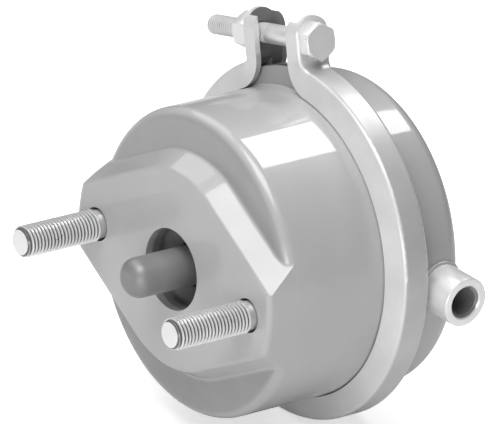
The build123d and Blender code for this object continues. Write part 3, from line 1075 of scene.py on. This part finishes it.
@dataclass
class MountingStuds:
    """The two M16 studs with cut threads, a plain neck at the pad and a round head inside."""

    shelf: FinishShelf
    thread: Thread = Thread(8.0 * MM, 2.0 * MM)
    lead: float = 1.7 * MM
    neck: float = 2.4 * MM
    neck_radius: float = 7.2 * MM
    overlap: float = 1.0 * MM
    head_height: float = 6.0 * MM
    head_edge: float = 0.5 * MM
    turned_steps: int = 64
    # painted shade in the stud thread: darkest at dark_radius, none from bright_radius, so the plain
    # neck is shaded too
    dark_radius: float = 6.9 * MM
    bright_radius: float = 7.5 * MM
    smooth_angle: float = 25.0

    def stud(self, node: str) -> None:
        """Make one stud.

        Args:
            node: the CAD node that it replaces.
        """
        low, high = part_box(node)
        centre = middle_of(node)
        bar = self.thread.bar(node + "_thread", -low[1] - self.neck, self.lead)
        Bench.place(bar, along(Vector((0, -1, 0)), Vector((centre.x, -self.neck, centre.z))))
        front = -self.neck - self.overlap
        head = (high[0] - low[0]) / 2
        seat = high[1] - self.head_height
        body = Bench.outline(node + "_body", [
            (0, front), (self.neck_radius, front), (self.neck_radius, seat),
            (head, seat), (head, high[1]), (0, high[1]),
        ], closed=False)
        Bench.turn(body, Axis.Y, self.turned_steps)
        Bench.bevel(body, self.head_edge)
        Bench.place(body, Matrix.Translation((centre.x, 0, centre.z)))
        axis = Line((centre.x, 0.0, centre.z), CHAMBER_AXIS.direction)
        # painted shade in the stud thread's roots and on its neck
        screw = ThreadRootShade(axis, self.dark_radius, self.bright_radius)
        material = self.shelf.bright(node + "_zinc", screw)
        for piece in (bar, body):
            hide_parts(node)
            Bench.finish(piece, material, Body.CHAMBER, self.smooth_angle)

    def build(self) -> None:
        """Make both studs."""
        for node in ("mounting_stud_left", "mounting_stud_right"):
            self.stud(node)


@dataclass
class AirInlet:
    """The inlet boss with its cut thread, and the weld bead that joins it to the cover."""

    shelf: FinishShelf
    thread: Thread = Thread(8.0 * MM, 1.5 * MM)
    radius: float = 12.5 * MM
    rim: float = 1.2 * MM
    rim_segments: int = 3
    turned_steps: int = 96
    spigot: float = 9.4 * MM
    spigot_length: float = 1.5 * MM
    root: float = 73.5 * MM
    mouth_margin: float = 0.9 * MM
    mouth_depth: float = 2.0 * MM
    mouth_steps: int = 64
    overshoot: float = 1.0 * MM
    bore_margin: float = 0.1 * MM
    cover_radius: float = 80.0 * MM
    cover_corner: float = 9.0 * MM
    cover_rear: float = 117.3 * MM
    bead: float = 1.3 * MM
    bead_steps: int = 120
    bead_facets: int = 3
    ripples: int = 30
    ripple_height: float = 0.10
    boss_smooth_angle: float = 28.0
    bead_smooth_angle: float = 60.0

    def cover_surface(self, y: float, z: float) -> float:
        """How far out along X the cover's surface lies at this height and side.

        Args:
            y: place along the chamber's axis.
            z: place up or down.

        Returns:
            The X coordinate of the surface.
        """
        into_corner = max(0.0, y - (self.cover_rear - self.cover_corner))
        flat = self.cover_radius - self.cover_corner
        reach = flat + math.sqrt(max(0.0, self.cover_corner**2 - into_corner**2))
        return math.sqrt(max(0.0, reach**2 - z**2))

    def boss(self, centre: Vector, end: float) -> Piece:
        """The boss, turned with its spigot, threaded and countersunk.

        Args:
            centre: the middle of the CAD node.
            end: how far out along X the boss reaches.

        Returns:
            The boss in its place.
        """
        shoulder = self.root + self.spigot_length
        boss = Bench.outline("port_boss_body", [
            (0, self.root), (self.spigot, self.root), (self.spigot, shoulder),
            (self.radius, shoulder), (self.radius, end), (0, end),
        ], closed=False)
        Bench.turn(boss, Axis.Y, self.turned_steps)
        Bench.bevel(boss, self.rim, self.rim_segments)
        tap = self.thread.bar("inlet_thread_tool", end - self.root + 2 * self.overshoot)
        lying = Matrix.Rotation(-math.pi / 2, 4, "X")
        Bench.place(tap, Matrix.Translation((0, self.root - self.overshoot, 0)) @ lying)
        Bench.cut(boss, tap)
        mouth = self.thread.radius + self.mouth_margin
        over = end + self.overshoot
        under = end - self.mouth_depth
        sink = Bench.outline("inlet_mouth_tool", [
            (0, over), (mouth, over), (mouth, end), (mouth - self.mouth_depth, under), (0, under),
        ], closed=False)
        Bench.turn(sink, Axis.Y, self.mouth_steps)
        Bench.cut(boss, sink)
        sideways = Matrix.Rotation(-math.pi / 2, 4, "Z")
        Bench.place(boss, Matrix.Translation((0, centre.y, centre.z)) @ sideways)
        return boss

    def weld(self, centre: Vector) -> Piece:
        """The bead round the boss's foot, a rippled closed tube where boss and cover meet.

        Args:
            centre: the middle of the CAD node.

        Returns:
            The bead's mesh.
        """
        curve = bpy.data.curves.new("inlet_weld_bead", "CURVE")
        curve.dimensions = "3D"
        curve.bevel_depth = self.bead
        curve.bevel_resolution = self.bead_facets
        spline = curve.splines.new("POLY")
        spline.points.add(self.bead_steps - 1)
        spline.use_cyclic_u = True
        for step, point in enumerate(spline.points):
            angle = math.tau * step / self.bead_steps
            y = centre.y + self.radius * math.cos(angle)
            z = centre.z + self.radius * math.sin(angle)
            point.co = (self.cover_surface(y, z), y, z, 1.0)
            point.radius = 1.0 + self.ripple_height * math.sin(angle * self.ripples)
        bead = bpy.data.objects.new("inlet_weld_bead", curve)
        bpy.context.scene.collection.objects.link(bead)
        Bench.pick(bead)
        bpy.ops.object.convert(target="MESH")
        return bpy.context.object

    def build(self) -> None:
        """Make the boss and its weld."""
        centre = middle_of("port_boss")
        boss = self.boss(centre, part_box("port_boss")[1][0])
        bead = self.weld(centre)
        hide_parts("port_boss")
        # painted shade inside the inlet's threaded bore
        bore = BoreShade(
            Line((0.0, centre.y, centre.z), (1.0, 0.0, 0.0)), self.thread.radius + self.bore_margin
        )
        zinc = self.shelf.bright("inlet_zinc", bore)
        Bench.finish(boss, zinc, Body.CHAMBER, self.boss_smooth_angle)
        Bench.finish(bead, self.shelf.get(self.shelf.cover), Body.CHAMBER, self.bead_smooth_angle)


@dataclass
class RodGroup:
    """What moves with the push rod: rod, plate and the gaiter's clip."""

    shelf: FinishShelf

    def build(self) -> None:
        """Dress the moving pieces."""
        Bench.dress("push_rod", self.shelf.get(self.shelf.rod))
        for node in ("pressure_plate", "gaiter_clip"):
            Bench.dress(node, self.shelf.get(self.shelf.inner))


@dataclass
class InnerSteel:
    """The still inner pieces: stud plate, spring seat and gaiter retainer, and the two plugs."""

    shelf: FinishShelf

    def build(self) -> None:
        """Dress the inner steel and the plugs."""
        for node in ("stud_plate", "spring_seat", "gaiter_retainer"):
            Bench.dress(node, self.shelf.get(self.shelf.inner))
        for node in ("breather_plug", "drain_plug"):
            Bench.dress(node, self.shelf.get(self.shelf.plug))


@dataclass
class ReturnSpring:
    """The conical return spring, which closes up towards its seat as the rod comes out."""

    shelf: FinishShelf
    stroke: float = 57.0 * MM
    smooth_angle: float = 40.0

    def build(self) -> None:
        """Dress the spring and give it its own mesh."""
        piece = Bench.merged_copy("return_spring")
        Bench.finish(piece, self.shelf.get(self.shelf.spring), Body.CHAMBER, self.smooth_angle)
        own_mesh(piece)


@dataclass
class Gaiter:
    """The rubber bellows between the stud plate and the rod, with round folds."""

    shelf: FinishShelf
    folds: int = 6
    bead_inner: float = 23.0 * MM
    bead_outer: float = 29.0 * MM
    bead: float = 3.0 * MM
    run_in: float = 1.5 * MM
    fold_outer: float = 23.4 * MM
    fold_inner: float = 15.4 * MM
    wall: float = 1.3 * MM
    rod: float = 10.05 * MM
    collar: float = 7.0 * MM
    collar_wall: float = 2.5 * MM
    steps_per_fold: int = 12
    turned_steps: int = 72
    smooth_angle: float = 50.0

    def middle_line(self, start: float, end: float) -> list[Point]:
        """The wall's middle line: waves that run out to the collar.

        Args:
            start: where along the chamber's axis the waves start.
            end: where they would end if the last one were whole.

        Returns:
            The line's points, as radius and place along the axis.
        """
        middle = (self.fold_outer + self.fold_inner) / 2
        swing = (self.fold_outer - self.fold_inner) / 2
        count = self.folds * self.steps_per_fold
        points = []
        for step in range(count - self.steps_per_fold // 2 + 1):
            turn = math.tau * step / self.steps_per_fold
            points.append((middle + swing * math.cos(turn), start + (end - start) * step / count))
        return points

    def build(self) -> None:
        """Make the bellows."""
        low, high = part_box("gaiter")
        first = low[1] + self.bead
        collar_start = high[1] - self.collar
        collar_outer = self.rod + self.collar_wall
        wave = self.middle_line(first + self.run_in, collar_start)
        half = self.wall / 2
        inside = [(self.bead_inner, low[1])] + [(x - half, y) for x, y in wave]
        inside += [(self.rod, collar_start), (self.rod, high[1])]
        outside = [(collar_outer, high[1]), (collar_outer, collar_start)]
        outside += [(x + half, y) for x, y in reversed(wave)]
        outside += [(self.bead_outer, first), (self.bead_outer, low[1])]
        piece = Bench.outline("gaiter_bellows", inside + outside)
        Bench.turn(piece, Axis.Y, self.turned_steps)
        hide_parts("gaiter")
        Bench.finish(piece, self.shelf.get(self.shelf.gaiter), None, self.smooth_angle)
        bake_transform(piece)


@dataclass
class Diaphragm:
    """The rubber diaphragm, whose bowl turns inside out as the rod comes out."""

    shelf: FinishShelf
    rim: float = 3.5 * MM
    floor: float = 6.0 * MM
    smooth_angle: float = 40.0

    def build(self) -> None:
        """Dress the diaphragm."""
        piece = Bench.merged_copy("diaphragm")
        Bench.finish(piece, self.shelf.get(self.shelf.rubber), None, self.smooth_angle)
        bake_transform(piece)


# ---- light, floor and camera


@dataclass(frozen=True)
class Lamp:
    """A soft rectangular lamp aimed at the chamber.

    The direction points from the chamber to the lamp, and the power is in watts.
    """

    name: str
    direction: Triple
    distance: float
    size: Point
    power: float

    def hang(self) -> None:
        """Make the lamp and hang it in its place."""
        light = bpy.data.lights.new(self.name, "AREA")
        light.shape = "RECTANGLE"
        light.size, light.size_y = self.size
        light.energy = self.power
        lamp = bpy.data.objects.new(self.name, light)
        bpy.context.scene.collection.objects.link(lamp)
        direction = Vector(self.direction)
        lamp.matrix_world = along(direction, direction.normalized() * self.distance)


@dataclass
class Studio:
    """A pale floor, soft lamps, and a camera far off with a long lens, which keeps edges parallel."""

    key: Lamp = Lamp("key_lamp", (0.20, -0.35, 0.90), 1.8, (1.2, 1.2), 28.0)
    fill: Lamp = Lamp("fill_lamp", (0.68, -0.73, -0.05), 2.0, (1.2, 1.2), 25.0)
    side: Lamp = Lamp("side_lamp", (-0.62, -0.12, 0.78), 1.8, (1.2, 1.2), 9.0)
    strip: Lamp = Lamp("strip_lamp", (-0.134, 0.582, 0.797), 1.5, (0.60, 0.3), 6.5)
    floor_size: float = 12.0
    floor_drop: float = 0.5 * MM
    floor_noise: Span = (8.0, 3.0)
    floor_dull: Triple = (0.80, 0.80, 0.80)
    floor_bright: Triple = (0.83, 0.83, 0.83)
    floor_roughness: float = 0.9
    floor_glow: float = 0.6
    white: tuple[float, float, float, float] = (1.0, 1.0, 1.0, 1.0)
    world_span: Span = (-0.3, 1.0)
    world_strength: Span = (0.08, 0.22)
    right: Triple = (0.60775, 0.79062, 0.07459)
    up: Triple = (-0.36125, 0.1916, 0.91257)
    aim_right: float = 35.75 * MM
    aim_up: float = 27.73 * MM
    width: float = 238.18 * MM
    distance: float = 4.0
    setback: float = 3.9767
    sensor: float = 36.0
    clip_end: float = 50.0

    def floor(self) -> None:
        """A wide pale floor just under the clamp, white to the camera and still taking a shadow."""
        Bench.clear()
        height = CAD_BOX[0][2] - self.floor_drop
        bpy.ops.mesh.primitive_plane_add(size=self.floor_size, location=(0, 0, height))
        plane = bpy.context.object
        plane.name = "studio_floor"
        sheet = NodeSheet("studio_floor_white", self.floor_dull)
        sheet.cover(sheet.noise(*self.floor_noise), self.floor_bright)
        sheet.fix("Roughness", self.floor_roughness)
        sheet.fix("Emission Color", self.white)
        rays = sheet.nodes.new("ShaderNodeLightPath")
        glow = sheet.work_out(Sum.TIMES, rays.outputs["Is Camera Ray"], self.floor_glow)
        sheet.feed("Emission Strength", glow)
        plane.data.materials.append(sheet.material)

    def world(self) -> None:
        """A soft grey surround, lighter above, and white where the camera looks past the floor."""
        world = bpy.data.worlds.new("studio_world")
        world.use_nodes = True
        bpy.context.scene.world = world
        nodes = world.node_tree.nodes
        links = world.node_tree.links
        coordinates = nodes.new("ShaderNodeTexCoord")
        split = nodes.new("ShaderNodeSeparateXYZ")
        ramp = nodes.new("ShaderNodeMapRange")
        rays = nodes.new("ShaderNodeLightPath")
        seen = nodes.new("ShaderNodeMix")
        background = nodes["Background"]
        links.new(coordinates.outputs["Generated"], split.inputs[0])
        links.new(split.outputs["Z"], ramp.inputs["Value"])
        for socket, number in zip(RAMP_ENDS, (*self.world_span, *self.world_strength)):
            ramp.inputs[socket].default_value = number
        links.new(rays.outputs["Is Camera Ray"], seen.inputs["Factor"])
        links.new(ramp.outputs["Result"], seen.inputs["A"])
        seen.inputs["B"].default_value = 1.0
        links.new(seen.outputs["Result"], background.inputs["Strength"])
        background.inputs["Color"].default_value = self.white

    def camera(self) -> None:
        """The camera, aimed so that the chamber fills its frame."""
        data = bpy.data.cameras.new("studio_camera")
        data.sensor_width = self.sensor
        data.lens = self.sensor * self.distance / self.width
        data.clip_end = self.clip_end
        camera = bpy.data.objects.new("studio_camera", data)
        bpy.context.scene.collection.objects.link(camera)
        right = Vector(self.right).normalized()
        back = right.cross(Vector(self.up)).normalized()
        up = back.cross(right)
        turn = Matrix((right, up, back)).transposed().to_4x4()
        place = right * self.aim_right + up * self.aim_up + back * self.setback
        camera.matrix_world = Matrix.Translation(place) @ turn
        bpy.context.scene.camera = camera

    def build(self) -> None:
        """Set up the studio."""
        self.floor()
        self.world()
        for lamp in (self.key, self.fill, self.side, self.strip):
            lamp.hang()
        self.camera()
        bpy.context.scene.view_settings.view_transform = "Standard"


def main() -> None:
    """Build every group of pieces in order, then the studio."""
    logging.basicConfig(level=logging.INFO, format="%(name)s: %(message)s")
    Bench.clear()
    shelf = FinishShelf()
    groups = (
        Housings, Clamp, MountingStuds, AirInlet, RodGroup,
        InnerSteel, ReturnSpring, Gaiter, Diaphragm,
    )
    for group in groups:
        LOG.info("building %s", group.__name__)
        group(shelf).build()
    Studio().build()


if __name__ == "__main__":
    main()
